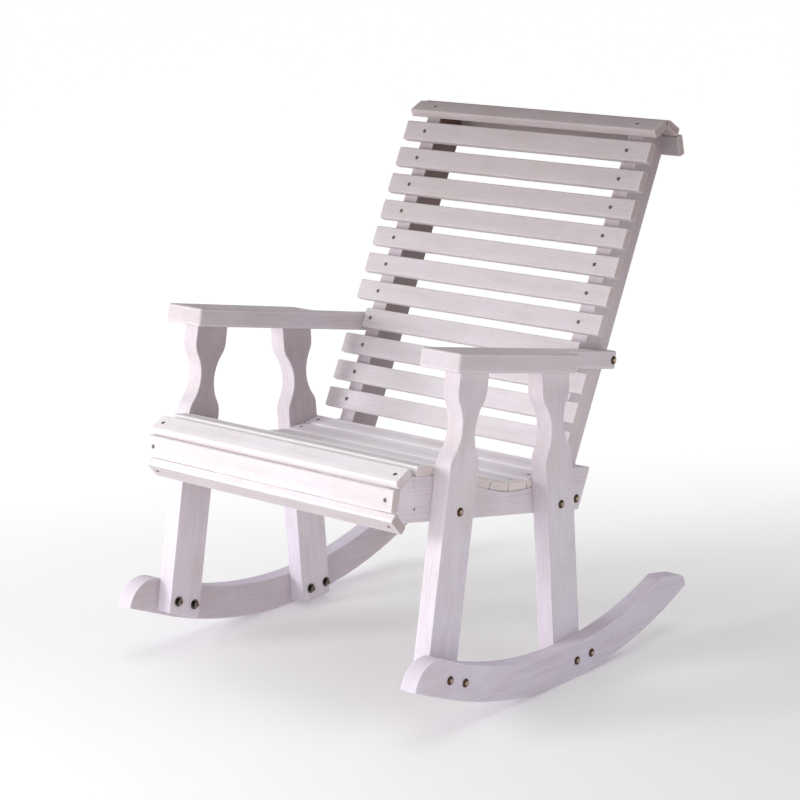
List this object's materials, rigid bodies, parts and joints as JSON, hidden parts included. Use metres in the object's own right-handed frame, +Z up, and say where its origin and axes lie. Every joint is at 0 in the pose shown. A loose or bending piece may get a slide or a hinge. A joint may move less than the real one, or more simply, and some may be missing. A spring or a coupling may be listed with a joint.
{
  "type": "rocking chair",
  "caption": "Slatted wooden rocking chair with scalloped legs, flat paddle armrests, a rolled seat front and a rolled top to its reclined back.",
  "frame": {"origin": "on the floor, at the middle of the chair's footprint box, with the chair at its resting lean", "axes": "+Z up, -Y the way the sitter faces, +X towards the sitter's left"},
  "size_m": [0.8252, 0.9887, 1.1009],
  "materials": {
    "frame_wood": "matte",
    "slat_wood": "matte",
    "bronzed_steel": "satin",
    "plated_steel": "satin",
    "dark_steel": "satin"
  },
  "bodies": {
    "root": {"rocker_left": "frame_wood", "rocker_right": "frame_wood", "front_leg_left": "frame_wood", "front_leg_right": "frame_wood", "rear_leg_left": "frame_wood", "rear_leg_right": "frame_wood", "seat_rail_left": "frame_wood", "seat_rail_right": "frame_wood", "back_upright_left": "frame_wood", "back_upright_right": "frame_wood", "armrest_left": "frame_wood", "armrest_right": "frame_wood", "back_slat_1": "slat_wood", "back_slat_2": "slat_wood", "back_slat_3": "slat_wood", "back_slat_4": "slat_wood", "back_slat_5": "slat_wood", "back_slat_6": "slat_wood", "back_slat_7": "slat_wood", "back_slat_8": "slat_wood", "back_slat_9": "slat_wood", "back_slat_10": "slat_wood", "back_slat_11": "slat_wood", "seat_slat_1": "slat_wood", "seat_slat_2": "slat_wood", "seat_slat_3": "slat_wood", "seat_slat_4": "slat_wood", "seat_slat_5": "slat_wood", "seat_slat_6": "slat_wood", "seat_slat_7": "slat_wood", "seat_slat_8": "slat_wood", "seat_roll_upper": "slat_wood", "seat_roll_front": "slat_wood", "seat_roll_lower": "slat_wood", "top_roll_front": "slat_wood", "top_roll_middle": "slat_wood", "top_roll_rear": "slat_wood", "rocker_bolts": "bronzed_steel", "rail_bolts": "bronzed_steel", "back_bolts": "bronzed_steel", "rocker_washers": "plated_steel", "rocker_nuts": "plated_steel", "rail_washers": "plated_steel", "rail_nuts": "plated_steel", "back_washers": "plated_steel", "back_nuts": "plated_steel", "back_slat_screws": "dark_steel", "seat_slat_screws": "dark_steel", "top_roll_screws": "dark_steel", "rail_screws": "dark_steel"}
  },
  "joints": []
}
